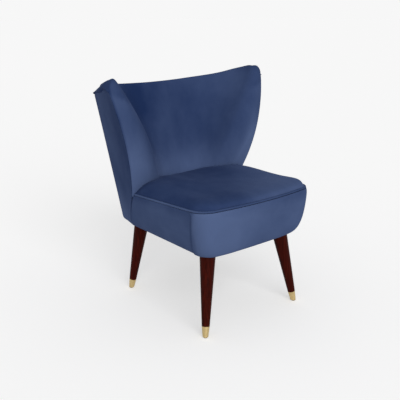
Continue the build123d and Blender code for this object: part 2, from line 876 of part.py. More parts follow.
# Covers and padding of the seat
seat_rear = back_post_base_y - post_thickness
piping_rear = wing_front_at_seat + tuck_depth
piping_cut = piping_tube(piping_radius + 2 * clearance, piping_rear + past)
nodes["seat_piping"] = without(piping_tube(piping_radius, piping_rear), back_cut)
top_cover = seat_dome(0, seat_rear, 0) - seat_dome(cover_thickness, seat_rear + past, cover_thickness)
nodes["seat_top_cover"] = without(top_cover - piping_cut, back_cut)
padding = seat_body(lining + seat_foam_ease, seat_rear, cover_thickness, 0)
foam = between_heights(padding, foam_base, far) + seat_dome(lining + seat_foam_ease, seat_rear, lining)
posts = [wing_post(sign, clearance) for sign in side_sign.values()]
nodes["seat_foam"] = without(foam - piping_cut, back_cut + posts)
edging = between_heights(padding, rail_base, foam_base - clearance) & ahead_of_wing_seam(clearance)
nodes["seat_edge_padding"] = edging - block(
    -side_rail_half_spacing - clearance,
    side_rail_half_spacing + clearance,
    -front_rail_face - clearance,
    far,
    seat_underside,
    far,
)
inside_boxing = seat_body(cover_thickness, seat_rear + past, cover_thickness, 0)
boxing = seat_body(0, seat_rear, 0, 0) - inside_boxing
hem_room = Solid.extrude(
    Face(seat_base_wire(hem_width, seat_rear + past, seat_underside - past)), Vector(0, 0, 2 * past)
)
boxing = (boxing - hem_room - piping_cut - back_room) & ahead_of_wing_seam(clearance)
nodes["seat_front_boxing"] = boxing & ahead_of_corner_seam(clearance / 2)
sides = boxing - ahead_of_corner_seam(-clearance / 2)
for side, sign in side_sign.items():
    half = block(min(0, sign * far), max(0, sign * far), -far, far, 0, far)
    nodes[f"{side}_side_boxing"] = sides & half
felt_half_width = side_rail_inner - felt_margin
nodes["seat_deck_felt"] = block(
    -felt_half_width,
    felt_half_width,
    -front_rail_inner + felt_margin,
    seat_rear,
    felt_base,
    felt_base + felt_thickness,
)

# Frame
dowel_holes = rail_dowels(clearance / 2)
screw_holes = []
for corner in leg_places:
    screw_holes += [block_screw(corner, True, clearance / 2), block_screw(corner, False, clearance / 2)]
bores = dowel_holes + screw_holes
rail_limit = seat_body(lining + clearance, far, cover_thickness, 0)
front_rail = block(
    -side_rail_half_spacing,
    side_rail_half_spacing,
    -front_rail_face,
    -front_rail_inner,
    rail_base,
    rail_top,
)
nodes["front_rail"] = without(front_rail & rail_limit, bores)
nodes["rear_rail"] = without(
    block(-side_rail_inner, side_rail_inner, rear_rail_inner, rear_rail_face, rail_base, rail_top), bores
)
for side, sign in side_sign.items():
    xs = sorted((sign * side_rail_inner, sign * side_rail_half_spacing))
    rail = block(xs[0], xs[1], -front_rail_inner, rear_rail_face, rail_base, rail_top)
    nodes[f"{side}_side_rail"] = without(rail, bores)
    nodes[f"{side}_back_post"] = back_post(sign)
    nodes[f"{side}_wing_post"] = wing_post(sign)
    rail_and_ends = wing_rail(sign) - back_post(sign) - wing_post(sign)
    nodes[f"{side}_wing_rail"] = max(rail_and_ends.solids(), key=lambda solid: solid.volume)
posts = [back_post(sign) for sign in side_sign.values()]
nodes["back_top_rail"] = without(cross_rail(top_rail_level, top_rail_height), posts)
nodes["back_lower_rail"] = without(cross_rail(lower_rail_level, lower_rail_height), posts)
for name, height in zip(("lower", "middle", "upper"), strap_levels):
    nodes[f"back_strap_{name}"] = back_strap(height)
for corner in leg_places:
    nodes[f"corner_block_{corner}"] = corner_block(corner)

# Springs
for i, x in enumerate(spring_places):
    nodes[f"seat_spring_{i + 1}"] = seat_spring(x)
nodes["spring_clips"] = [spring_clip(x, y) for x in spring_places for y in (front_clip_y, rear_clip_y)]

# Legs and fasteners
for corner in leg_places:
    leg, ferrule, glide = leg_pieces(corner)
    nodes[f"leg_{corner}"] = leg
    nodes[f"ferrule_{corner}"] = ferrule
    nodes[f"glide_{corner}"] = glide
nodes["leg_bolts"] = [leg_bolt(corner) for corner in leg_places]
nodes["leg_tee_nuts"] = [leg_nut(corner) for corner in leg_places]
nodes["rail_dowels"] = rail_dowels()
nodes["corner_block_screws"] = [
    block_screw(corner, along_x) for corner in leg_places for along_x in (True, False)
]

# Dust cover and its staples
dust_half_width = side_rail_half_spacing - dust_cover_margin
dust_front = -front_rail_face + dust_cover_margin
dust_rear = rear_rail_face + dust_cover_margin
dust_cover = block(-dust_half_width, dust_half_width, dust_front, dust_rear, leg_top, seat_underside)
nodes["dust_cover"] = without(dust_cover, [leg_bolt(corner, 2 * clearance) for corner in leg_places])


def staple(x, y, length_x, length_y):
    return Pos(x, y, leg_top - staple_thickness / 2) * Box(length_x, length_y, staple_thickness)


staples = []
for i in range(staples_per_side):
    share = i / (staples_per_side - 1)
    x_reach = rear_leg_top_x - staple_leg_gap
    x = x_reach * (2 * share - 1)
    y_start = staple_leg_gap - front_leg_top
    y = y_start + share * (rear_leg_top - staple_leg_gap - y_start)
    for sign in side_sign.values():
        staples.append(staple(sign * (dust_half_width - staple_inset), y, staple_width, staple_length))
    staples.append(staple(x, dust_front + staple_inset, staple_length, staple_width))
    staples.append(staple(x, dust_rear - staple_inset, staple_length, staple_width))
nodes["dust_cover_staples"] = staples

os.makedirs("parts", exist_ok=True)
for name, solid in nodes.items():
    if isinstance(solid, list):
        solid = Compound(children=solid)
    export_step(solid, f"parts/{name}.step")
print(len(nodes), "nodes")
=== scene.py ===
from functools import cache
from math import asin, atan2, cos, exp, hypot, pi, radians, sin, sqrt, tan

import bmesh
import bpy
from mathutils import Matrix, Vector, noise


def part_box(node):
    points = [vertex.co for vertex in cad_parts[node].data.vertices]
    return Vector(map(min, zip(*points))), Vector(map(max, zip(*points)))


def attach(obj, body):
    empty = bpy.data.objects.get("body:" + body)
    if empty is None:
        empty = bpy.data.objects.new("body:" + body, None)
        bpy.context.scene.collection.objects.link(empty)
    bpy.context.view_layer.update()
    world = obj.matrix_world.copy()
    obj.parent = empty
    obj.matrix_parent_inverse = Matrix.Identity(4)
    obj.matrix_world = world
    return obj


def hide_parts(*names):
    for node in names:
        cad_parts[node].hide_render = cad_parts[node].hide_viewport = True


# A winged cocktail chair in navy velvet: its covers, piping, dust cloth and finishes.
# Lengths are millimetres in the chair's own frame: X to the right, front at -Y, Z up.
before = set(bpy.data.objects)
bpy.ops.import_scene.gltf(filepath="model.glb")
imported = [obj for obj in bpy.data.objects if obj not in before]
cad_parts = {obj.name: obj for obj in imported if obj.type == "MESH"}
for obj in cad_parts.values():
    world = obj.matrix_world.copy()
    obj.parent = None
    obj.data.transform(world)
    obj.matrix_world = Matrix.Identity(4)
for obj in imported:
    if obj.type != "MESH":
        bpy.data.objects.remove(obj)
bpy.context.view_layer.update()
scene = bpy.context.scene
MM = 0.001
HAIR = 1e-6

# Seat sizes, three values each: at the piping, halfway down and at the underside
SEAT_HALF_WIDTH = (245.0, 234.0, 209.0)
SEAT_FRONT = (313.0, 302.0, 277.0)
SEAT_CORNER = (60.0, 52.5, 45.0)
SEAT_BOW = (1180.0, 1840.0, 2500.0)
CORNER_SEAM = (-243.0, -229.0, -215.0)
WING_SEAM = (73.0, 106.0, 139.0)

# Seat sizes with one value
PIPING_HEIGHT = 411.0
BULGE_HEIGHT = 345.5
SEAT_UNDERSIDE = 268.0
SEAT_PITCH = tan(radians(3.6))
SEAT_REAR = 188.0
SEAT_REAR_HALF_WIDTH = 195.0
FOOT_FULLNESS = 43.0
FOOT_FALL = 4
HEM_WIDTH = 26.0
SEAM_TUCK = 5.0

# Back sizes, three values each: at the seat, halfway up and at the top of the wing's seam
SEAM_X = (249.0, 293.0, 332.0)
SEAM_Y = (73.0, 32.5, 58.0)
ROLL_INWARD = (28.0, 43.0, 27.0)
ROLL_FORWARD = (3.0, 8.0, 13.0)
SHOULDER_INWARD = (132.0, 114.0, 58.0)
SHOULDER_BACK = (27.0, 32.0, 20.0)
HAUNCH_INWARD = (29.0, 16.0, 20.0)
HAUNCH_BACK = (25.0, 53.0, 72.0)
FLANK_INWARD = (43.0, 56.0, 92.0)
FLANK_FORWARD = (10.0, 11.0, 14.0)

# Back sizes with one value
SEAM_TOP = 763.0
SEAM_BASE_PROUD = -1.0
SEAM_BASE_Y = 139.0
INSIDE_BACK = 157.0
INSIDE_RECLINE = tan(radians(13.2))
OUTSIDE_BACK = 256.6
OUTSIDE_RECLINE = tan(radians(7.6))
CORNER_BASE_X = 193.0
CORNER_TOP_X = 282.0

# The back's rear corners, two values each: at the underside, and what the full height adds
CORNER_START = (47.0, 35.0)
CORNER_MIDDLE_IN = (9.0, 13.0)
CORNER_MIDDLE = (17.0, 23.0)
CORNER_END_IN = (43.0, 36.0)
CORNER_END = (5.0, 7.0)

# The sloping top of the back, with its places as distance from the middle and height
ROOF_SLOPE = tan(radians(25.0))
ROOF_START = 75.0
ROOF_ROUND = 105.0
ROOF_EASE = 55.0
ROOF_FLAT = 120.0
ROOF_CROWN = 836.0
ROOF_BEND = 1.5
ROOF_HAUNCH = (256.0, 824.5)
ROOF_TIP = (306.0, 802.5)
ROOF_KNUCKLE = (325.0, 793.0)
ROOF_EDGE = (338.0, 760.0)
ROOF_STEPS = 12
WING_SWELL = 6.0
WING_SWELL_X = (240.0, 300.0)
WING_SWELL_START = 60.0
WING_SWELL_LENGTH = 190.0

# Where the curves of one half meet, as shares of the way from the wing's seam to the middle
WING_SHARE = 0.42
FLANK_SHARE = 0.74
HOLLOW_SHARE = 0.75
EASE = 0.035
HOLLOW_EASE = 0.1
OUTER_START = 0.34
OUTER_END = 0.56


def three_way(values, share):
    # a smooth run through three values, at shares 0, 0.5 and 1
    low = (2 * share - 1) * (share - 1)
    middle = 4 * share * (1 - share)
    high = share * (2 * share - 1)
    return values[0] * low + values[1] * middle + values[2] * high


def rising(value, low, high):
    # from 0 below low to 1 above high, with soft ends
    share = min(1.0, max(0.0, (value - low) / (high - low)))
    return share * share * (3 - 2 * share)


def outline_reach(values, down):
    # a seat size at a level, where the boxing stays fuller above its foot
    return three_way(values, down) + FOOT_FULLNESS * down**FOOT_FALL * (1 - down)


def up_back(z, values):
    return three_way(values, max(0.0, (z - PIPING_HEIGHT) / (SEAM_TOP - PIPING_HEIGHT)))


def on_circle(a, middle, b, share):
    # a point of the arc from a through middle to b, in plan
    ax, ay = a
    bx, by = middle
    cx, cy = b
    span = 2 * (ax * (by - cy) + bx * (cy - ay) + cx * (ay - by))
    sa, sb, sc = ax * ax + ay * ay, bx * bx + by * by, cx * cx + cy * cy
    x = (sa * (by - cy) + sb * (cy - ay) + sc * (ay - by)) / span
    y = (sa * (cx - bx) + sb * (ax - cx) + sc * (bx - ax)) / span
    radius = sqrt((ax - x) ** 2 + (ay - y) ** 2)
    start = atan2(ay - y, ax - x)
    rest = atan2(cy - y, cx - x) - start
    turn = 2 * pi if span > 0 else -2 * pi
    rest = rest if rest * turn > 0 else rest + turn
    angle = start + rest * share
    return (x + radius * cos(angle), y + radius * sin(angle))


def seam_point(z):
    # the wing's front seam at a height, above the piping and down the end of the boxing
    if z >= PIPING_HEIGHT:
        return (up_back(z, SEAM_X), up_back(z, SEAM_Y))
    share = (PIPING_HEIGHT - z) / (PIPING_HEIGHT - SEAT_UNDERSIDE)
    proud = SEAM_X[0] - SEAT_HALF_WIDTH[0]
    x = outline_reach(SEAT_HALF_WIDTH, share) + proud + share * (SEAM_BASE_PROUD - proud)
    y = SEAM_Y[0] + share * (SEAM_BASE_Y - SEAM_Y[0])
    return (x, y)


def inner_plan(z, share):
    # right half of the inside back at a height, from the wing seam to the middle
    seam = seam_point(z)
    middle = INSIDE_BACK + INSIDE_RECLINE * (z - PIPING_HEIGHT)
    roll = (seam[0] - up_back(z, ROLL_INWARD), seam[1] - up_back(z, ROLL_FORWARD))
    shoulder = (seam[0] - up_back(z, SHOULDER_INWARD), seam[1] + up_back(z, SHOULDER_BACK))
    haunch = (shoulder[0] - up_back(z, HAUNCH_INWARD), shoulder[1] + up_back(z, HAUNCH_BACK))
    flank = (haunch[0] - up_back(z, FLANK_INWARD), middle - up_back(z, FLANK_FORWARD))
    if share < WING_SHARE:
        return on_circle(seam, roll, shoulder, share / WING_SHARE)
    if share < FLANK_SHARE:
        along = (share - WING_SHARE) / (FLANK_SHARE - WING_SHARE)
        return on_circle(shoulder, haunch, flank, along)
    across = (share - FLANK_SHARE) / (1 - FLANK_SHARE) / 2
    return on_circle(flank, (0.0, middle), (-flank[0], flank[1]), across)


def inner_point(z, share):
    # the same line with its changes of curve eased, as stretched cloth takes them
    reach = EASE + (HOLLOW_EASE - EASE) * rising(share, WING_SHARE, HOLLOW_SHARE)
    reach = min(reach, share)
    before = inner_plan(z, share - reach)
    here = inner_plan(z, share)
    ahead = share + reach
    after = inner_plan(z, min(ahead, 2 - ahead))
    if ahead > 1:
        after = (-after[0], after[1])
    return tuple((p + 2 * q + r) / 4 for p, q, r in zip(before, here, after))


def outer_point(z, share):
    # right half of the outside at a height, from the wing seam to the middle of the back
    rear = OUTSIDE_BACK + OUTSIDE_RECLINE * (z - SEAT_UNDERSIDE)
    rise = (z - SEAT_UNDERSIDE) / (SEAM_TOP - SEAT_UNDERSIDE)
    corner = CORNER_BASE_X + rise * (CORNER_TOP_X - CORNER_BASE_X)
    seam = seam_point(z)
    start = (corner, rear - CORNER_START[0] - CORNER_START[1] * rise)
    middle_x = corner - CORNER_MIDDLE_IN[0] - CORNER_MIDDLE_IN[1] * rise
    middle = (middle_x, rear - CORNER_MIDDLE[0] - CORNER_MIDDLE[1] * rise)
    end_x = corner - CORNER_END_IN[0] - CORNER_END_IN[1] * rise
    end = (end_x, rear - CORNER_END[0] - CORNER_END[1] * rise)
    if share < OUTER_START:
        along = share / OUTER_START
        return (seam[0] + along * (start[0] - seam[0]), seam[1] + along * (start[1] - seam[1]))
    if share < OUTER_END:
        return on_circle(start, middle, end, (share - OUTER_START) / (OUTER_END - OUTER_START))
    across = (share - OUTER_END) / (1 - OUTER_END) / 2
    return on_circle(end, (0.0, rear), (-end[0], end[1]), across)


def through(points, x):
    # height at x of the parabola through three points
    (a, fa), (b, fb), (c, fc) = points
    first = fa * (x - b) * (x - c) / ((a - b) * (a - c))
    second = fb * (x - a) * (x - c) / ((b - a) * (b - c))
    third = fc * (x - a) * (x - b) / ((c - a) * (c - b))
    return first + second + third


def roof_height(x, y):
    # the sloping top over a plan point: flat in the middle, falling to the wings' tips
    x = abs(x)
    fall = (ROOF_CROWN - ROOF_HAUNCH[1]) / (ROOF_HAUNCH[0] - ROOF_FLAT)
    if x <= ROOF_HAUNCH[0]:
        share = max(0.0, (x - ROOF_FLAT) / (ROOF_HAUNCH[0] - ROOF_FLAT))
        height = ROOF_CROWN - (ROOF_CROWN - ROOF_HAUNCH[1]) * share**ROOF_BEND
    elif x <= ROOF_TIP[0]:
        width = ROOF_TIP[0] - ROOF_HAUNCH[0]
        out = (x - ROOF_HAUNCH[0]) / width
        even = ROOF_BEND * fall * width
        height = ROOF_HAUNCH[1] - even * out - (ROOF_HAUNCH[1] - ROOF_TIP[1] - even) * out**2
    else:
        height = through([ROOF_TIP, ROOF_KNUCKLE, ROOF_EDGE], x)
    forward = ROOF_START - y
    ahead = min(ROOF_EASE, max(0.0, ROOF_ROUND - y))
    if ahead > 0:
        forward = ROOF_START - ROOF_ROUND + ahead - ahead**2 / (2 * ROOF_EASE)
    along_wing = min(1.0, max(0.0, (y - WING_SWELL_START) / WING_SWELL_LENGTH))
    swell = WING_SWELL * rising(x, *WING_SWELL_X) * sin(pi * along_wing)
    return height + ROOF_SLOPE * forward + swell


@cache
def roof_meets(plan, share):
    # where the sloping top cuts a line of the back: the plan point and its height
    z = SEAM_TOP
    for _ in range(ROOF_STEPS):
        z = (z + roof_height(*plan(z, share))) / 2
    x, y = plan(z, share)
    return (x, y, z)


# Making and naming a piece
SEAM_CREASE = 0.5
ON_COLUMN = 1e-4
WELD = 0.2
COVER_THICKNESS = 2.5
COVER_LEVELS = 2


def on_seam(edge, columns):
    # whether an edge of the flat grid runs along a sewn column, the one beside the tuck
    seams = (1 / columns, 1 - 1 / columns)
    across = [vert.co.x + 0.5 for vert in edge.verts]
    return any(all(abs(u - seam) < ON_COLUMN for u in across) for seam in seams)


def mapped_grid(columns, rows, place, pile_and_light=None, sewn=False):
    # a grid of quads, each corner moved to its place on the cover, with a value of its pile lay
    # mixed with painted light and shade;
    # a sewn grid is creased along its seams
    bm = bmesh.new()
    bmesh.ops.create_grid(bm, x_segments=columns, y_segments=rows, size=0.5)
    if sewn:
        crease = bm.edges.layers.float.new("crease_edge")
        for edge in bm.edges:
            if on_seam(edge, columns):
                edge[crease] = SEAM_CREASE
    pile_light = bm.verts.layers.float.new("pile_and_light") if pile_and_light else None
    for vert in bm.verts:
        u, v = vert.co.x + 0.5, vert.co.y + 0.5
        point = place(u, v)
        vert.co = point * MM
        if pile_and_light:
            vert[pile_light] = pile_and_light(v, point)
    bmesh.ops.remove_doubles(bm, verts=bm.verts, dist=WELD * MM)
    return bm


def make_piece(bm, name, material, nodes):
    mesh = bpy.data.meshes.new(name)
    bm.to_mesh(mesh)
    bm.free()
    mesh.polygons.foreach_set("use_smooth", [True] * len(mesh.polygons))
    piece = bpy.data.objects.new(name, mesh)
    scene.collection.objects.link(piece)
    mesh.materials.append(material)
    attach(piece, "root")
    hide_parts(*nodes)
    return piece


def round_off(piece, levels):
    rounding = piece.modifiers.new("rounding", "SUBSURF")
    rounding.levels = levels
    rounding.render_levels = levels


def give_body(piece, thickness=COVER_THICKNESS, levels=COVER_LEVELS):
    # a cover's own thickness, inwards, and its rounding
    skin = piece.modifiers.new("cover", "SOLIDIFY")
    skin.thickness = thickness * MM
    skin.offset = -1.0
    round_off(piece, levels)


SETTLE_FRAMES = 16
SEWN_RINGS = 2
COVER_MASS = 0.25
COVER_STRETCH = 30.0
COVER_SHEAR = 12.0
COVER_BEND = 4.0


def sewn_points(mesh):
    # the vertices along a cover's sewn edges, some rings deep
    bm = bmesh.new()
    bm.from_mesh(mesh)
    held = {vert for vert in bm.verts if vert.is_boundary}
    for _ in range(SEWN_RINGS):
        held |= {edge.other_vert(vert) for vert in held for edge in vert.link_edges}
    found = [vert.index for vert in held]
    bm.free()
    return found


def settle(piece, pressure, most):
    # the cover swells over its filling as cloth, held along its seams, by a few millimetres at most
    trial = bpy.data.objects.new("settling", piece.data.copy())
    scene.collection.objects.link(trial)
    trial.vertex_groups.new(name="sewn").add(sewn_points(trial.data), 1.0, "ADD")
    cloth = trial.modifiers.new("cloth", "CLOTH")
    cloth.settings.vertex_group_mass = "sewn"
    cloth.settings.mass = COVER_MASS
    cloth.settings.tension_stiffness = COVER_STRETCH
    cloth.settings.compression_stiffness = COVER_STRETCH
    cloth.settings.shear_stiffness = COVER_SHEAR
    cloth.settings.bending_stiffness = COVER_BEND
    cloth.settings.use_pressure = True
    cloth.settings.uniform_pressure_force = pressure
    cloth.settings.effector_weights.gravity = 0.0
    cloth.point_cache.frame_start = 1
    cloth.point_cache.frame_end = SETTLE_FRAMES
    for step in range(1, SETTLE_FRAMES + 1):
        scene.frame_set(step)
    shape = trial.evaluated_get(bpy.context.evaluated_depsgraph_get()).to_mesh()
    for vert, swollen in zip(piece.data.vertices, shape.vertices):
        move = swollen.co - vert.co
        vert.co += move * (most * MM / (most * MM + move.length))
    data = trial.data
    bpy.data.objects.remove(trial)
    bpy.data.meshes.remove(data)
    scene.frame_set(1)


# Materials
EVEN = (1.0, 1.0, 1.0)
WHITE = (1.0, 1.0, 1.0, 1.0)


def node_material(name):
    material = bpy.data.materials.new(name)
    material.use_nodes = True
    nodes = material.node_tree.nodes
    return material, nodes, material.node_tree.links, nodes["Principled BSDF"]


def noise_node(nodes, links, scale, detail, roughness, stretch=EVEN):
    place = nodes.new("ShaderNodeTexCoord")
    turn = nodes.new("ShaderNodeMapping")
    turn.inputs["Scale"].default_value = stretch
    links.new(place.outputs["Object"], turn.inputs["Vector"])
    texture = nodes.new("ShaderNodeTexNoise")
    texture.inputs["Scale"].default_value = scale
    texture.inputs["Detail"].default_value = detail
    texture.inputs["Roughness"].default_value = roughness
    links.new(turn.outputs["Vector"], texture.inputs["Vector"])
    return texture


def ramp_node(nodes, links, source, stops):
    ramp = nodes.new("ShaderNodeValToRGB")
    elements = ramp.color_ramp.elements
    while len(elements) < len(stops):
        elements.new(0.5)
    for element, (position, color) in zip(elements, stops):
        element.position = position
        element.color = (*color, 1.0)
    links.new(source, ramp.inputs["Fac"])
    return ramp


def bump_chain(nodes, links, shader, layers):
    # layers of height, coarse first: source socket, strength and depth in millimetres
    normal = None
    for source, strength, depth in layers:
        bump = nodes.new("ShaderNodeBump")
        bump.inputs["Strength"].default_value = strength
        bump.inputs["Distance"].default_value = depth * MM
        links.new(source, bump.inputs["Height"])
        if normal is not None:
            links.new(normal, bump.inputs["Normal"])
        normal = bump.outputs["Normal"]
    links.new(normal, shader.inputs["Normal"])


DEEP_NAVY = (0.0118, 0.025, 0.078)
BRUSHED_NAVY = (0.013216, 0.028, 0.08736)
# the pale end: a painted sheen and light, greyer than the navy itself
SHEEN_PALE_NAVY = (0.0774, 0.1136, 0.2273)
PATCH_DEPTH = 0.5


def velvet(name, stretch):
    # short-pile velvet, coloured by a value that mixes the cover's pile lay with painted light,
    # sheen and shade:
    # the pale end is painted sheen and light, the deep end painted shade, with soft patches left by
    # hands and brush
    material, nodes, links, shader = node_material(name)
    pile_light = nodes.new("ShaderNodeAttribute")
    pile_light.attribute_name = "pile_and_light"
    patches = noise_node(nodes, links, scale=8.0, detail=4.0, roughness=0.6, stretch=stretch)
    ruffled = nodes.new("ShaderNodeMath")
    ruffled.operation = "MULTIPLY_ADD"
    links.new(patches.outputs["Fac"], ruffled.inputs[0])
    ruffled.inputs[1].default_value = PATCH_DEPTH
    links.new(pile_light.outputs["Fac"], ruffled.inputs[2])
    pile_and_light_color = ramp_node(nodes, links, ruffled.outputs["Value"], [
        (0.0, DEEP_NAVY),
        (PATCH_DEPTH / 2, BRUSHED_NAVY),
        (1.0, SHEEN_PALE_NAVY),
    ])
    links.new(pile_and_light_color.outputs["Color"], shader.inputs["Base Color"])
    shader.inputs["Roughness"].default_value = 0.85
    shader.inputs["Specular IOR Level"].default_value = 0.02
    shader.inputs["Sheen Weight"].default_value = 0.07
    shader.inputs["Sheen Roughness"].default_value = 0.4
    shader.inputs["Sheen Tint"].default_value = (0.42, 0.55, 1.0, 1.0)
    brushed = noise_node(nodes, links, scale=38.0, detail=4.0, roughness=0.6, stretch=stretch)
    pile = noise_node(nodes, links, scale=1400.0, detail=2.0, roughness=0.6)
    bump_chain(nodes, links, shader, [
        (brushed.outputs["Fac"], 0.12, 1.2),
        (pile.outputs["Fac"], 0.3, 0.35),
    ])
    return material


def lacquered_wood():
    material, nodes, links, shader = node_material("mahogany_lacquer")
    along = (3.0, 3.0, 0.16)
    grain = noise_node(nodes, links, scale=60.0, detail=6.0, roughness=0.65, stretch=along)
    streaks = ramp_node(nodes, links, grain.outputs["Fac"], [
        (0.32, (0.02, 0.0022, 0.0012)),
        (0.55, (0.042, 0.004, 0.0018)),
        (0.75, (0.07, 0.0065, 0.0026)),
    ])
    links.new(streaks.outputs["Color"], shader.inputs["Base Color"])
    shader.inputs["Roughness"].default_value = 0.36
    shader.inputs["Specular IOR Level"].default_value = 0.02
    shader.inputs["Coat Weight"].default_value = 0.03
    shader.inputs["Coat Roughness"].default_value = 0.14
    drawn_out = (3.0, 3.0, 0.08)
    pores = noise_node(nodes, links, scale=420.0, detail=3.0, roughness=0.6, stretch=drawn_out)
    bump_chain(nodes, links, shader, [(pores.outputs["Fac"], 0.08, 0.15)])
    return material


def satin_brass():
    material, nodes, links, shader = node_material("satin_brass")
    wear = noise_node(nodes, links, scale=120.0, detail=4.0, roughness=0.6)
    tint = ramp_node(nodes, links, wear.outputs["Fac"], [
        (0.3, (0.5, 0.37, 0.17)),
        (0.7, (0.62, 0.48, 0.24)),
    ])
    links.new(tint.outputs["Color"], shader.inputs["Base Color"])
    shader.inputs["Metallic"].default_value = 1.0
    shader.inputs["Roughness"].default_value = 0.38
    rings = (0.2, 0.2, 6.0)
    turned = noise_node(nodes, links, scale=900.0, detail=2.0, roughness=0.5, stretch=rings)
    bump_chain(nodes, links, shader, [(turned.outputs["Fac"], 0.06, 0.1)])
    return material


def plain_finish(name, colors, roughness, scale, metallic=0.0, bump=0.2, stretch=EVEN):
    # a quiet finish for pieces inside or under the chair
    material, nodes, links, shader = node_material(name)
    texture = noise_node(nodes, links, scale, detail=5.0, roughness=0.6, stretch=stretch)
    stops = [(0.3, colors[0]), (0.7, colors[1])]
    tint = ramp_node(nodes, links, texture.outputs["Fac"], stops)
    links.new(tint.outputs["Color"], shader.inputs["Base Color"])
    shader.inputs["Roughness"].default_value = roughness
    shader.inputs["Metallic"].default_value = metallic
    bump_chain(nodes, links, shader, [(texture.outputs["Fac"], bump, 0.3)])
    return material


upright_velvet = velvet("upright_velvet", (1.0, 1.0, 0.6))
seat_top_velvet = velvet("seat_top_velvet", (1.0, 0.7, 1.0))
boxing_velvet = velvet("boxing_velvet", (0.8, 0.8, 1.0))
mahogany = lacquered_wood()
brass = satin_brass()
black_cloth = plain_finish(
    "dust_cloth_black",
    [(0.012, 0.012, 0.013), (0.03, 0.03, 0.032)],
    roughness=0.9,
    scale=700.0,
)
sawn_wood = plain_finish(
    "sawn_hardwood",
    [(0.42, 0.29, 0.17), (0.62, 0.46, 0.29)],
    roughness=0.7,
    scale=40.0,
    stretch=(4.0, 1.0, 4.0),
)
zinc_steel = plain_finish(
    "zinc_steel",
    [(0.42, 0.42, 0.43), (0.6, 0.6, 0.6)],
    roughness=0.38,
    scale=300.0,
    metallic=1.0,
    bump=0.05,
)
black_nylon = plain_finish(
    "black_nylon",
    [(0.018, 0.018, 0.018), (0.035, 0.035, 0.035)],
    roughness=0.55,
    scale=500.0,
)
jute_webbing = plain_finish(
    "jute_webbing",
    [(0.2, 0.14, 0.08), (0.38, 0.29, 0.18)],
    roughness=0.9,
    scale=260.0,
)

# Each cover's value runs from 0, deep, to 1, pale: its pile lay mixed with painted light and shade,
# with painted shade beside a seam
SEAM_SHADE = 0.22
SEAM_SHADE_REACH = 7.0
COLUMN_GATHER = 1.4
ROOF_TILT = 5.0 / 306.0
TILT_HEIGHTS = (560.0, 740.0)


# painted shade beside a seam, where the cloth dips in
def seam_shade(distance):
    return SEAM_SHADE * (1 - rising(distance, 0.0, SEAM_SHADE_REACH))


def sided(point, side):
    return Vector((point[0] * side, point[1], point[2]))


def drawn_over(point, side):
    # the cover is drawn a little higher over the right wing than over the left
    lift = ROOF_TILT * side * point.x * rising(point.z, *TILT_HEIGHTS)
    return sided(point + Vector((0.0, 0.0, lift)), side)


def half_share(u, columns):
    # side of the chair, the share from the seam column to the middle, and whether the column is
    # the tuck outside the seam; the columns stand closer towards the seam
    side = 1 if u >= 0.5 else -1
    seam_at = 1 - 2 / columns
    share = 1 - abs(2 * u - 1) / seam_at
    return side, max(share, 0.0) ** COLUMN_GATHER, share < -HAIR


# The inside back: wings, roll, hollow and sloping top in one cover
BACK_COLUMNS = 56
BACK_ROWS = 52
RIDGE_AT = 0.6
OUTER_AT = 0.88
EDGE_AT = 1 - 1 / BACK_ROWS
INSIDE_BASE = 396.0
RIDGE_REACH = 10.0
WING_RIDGE_REACH = 19.0
RIDGE_WEIGHTS = ((-2, 1), (-1, 4), (0, 6), (1, 4), (2, 1))
RIDGE_WEIGHT_SUM = sum(weight for _, weight in RIDGE_WEIGHTS)
TIP_JOIN = 0.04
CAP_DROP = (6.0, 17.0, 0.0)
CAP_SWELL = 4.0
CAP_LEAN = 0.8
CAP_REAR_START = 150.0
BACK_EDGE_TUCK = Vector((-0.5 * SEAM_TUCK, -0.5 * SEAM_TUCK, -SEAM_TUCK))
BACK_SEAM_TUCK = Vector((-0.6 * SEAM_TUCK, SEAM_TUCK, -0.3 * SEAM_TUCK))

# Its pile lay mixed with painted light and shade: the hollow, paler at its foot and its right, with
# a painted shadow of the left wing at its upper left, then the roll, painted lighter
HOLLOW_PILE_AND_LIGHT = 0.2
HOLLOW_FOOT_PALE = 0.4
HOLLOW_FOOT = (430.0, 570.0)
HOLLOW_RIGHT_PALE = 0.1
HOLLOW_RIGHT = (120.0, 230.0)
HOLLOW_SHADE = 0.2
HOLLOW_SHADE_X = -140.0
HOLLOW_SHADE_Z = 690.0
HOLLOW_SHADE_REACH = 110.0
ROLL_PILE_AND_LIGHT = 0.36
ROLL_FOOT_PAINTED_LIGHT = 0.5
ROLL_FOOT = (470.0, 680.0)
ROLL_START = 28.0
RIGHT_ROLL_END = 75.0
LEFT_ROLL_END = 140.0
DART_SHADE = 0.18
DART_SLANT = 0.5
DART_HEIGHTS = (748.0, 756.0)
EDGE_SHADE_ROWS = 0.03
TOP_SHADE = 0.6
TOP_SHADE_ROWS = (RIDGE_AT - 0.01, RIDGE_AT + 0.03)


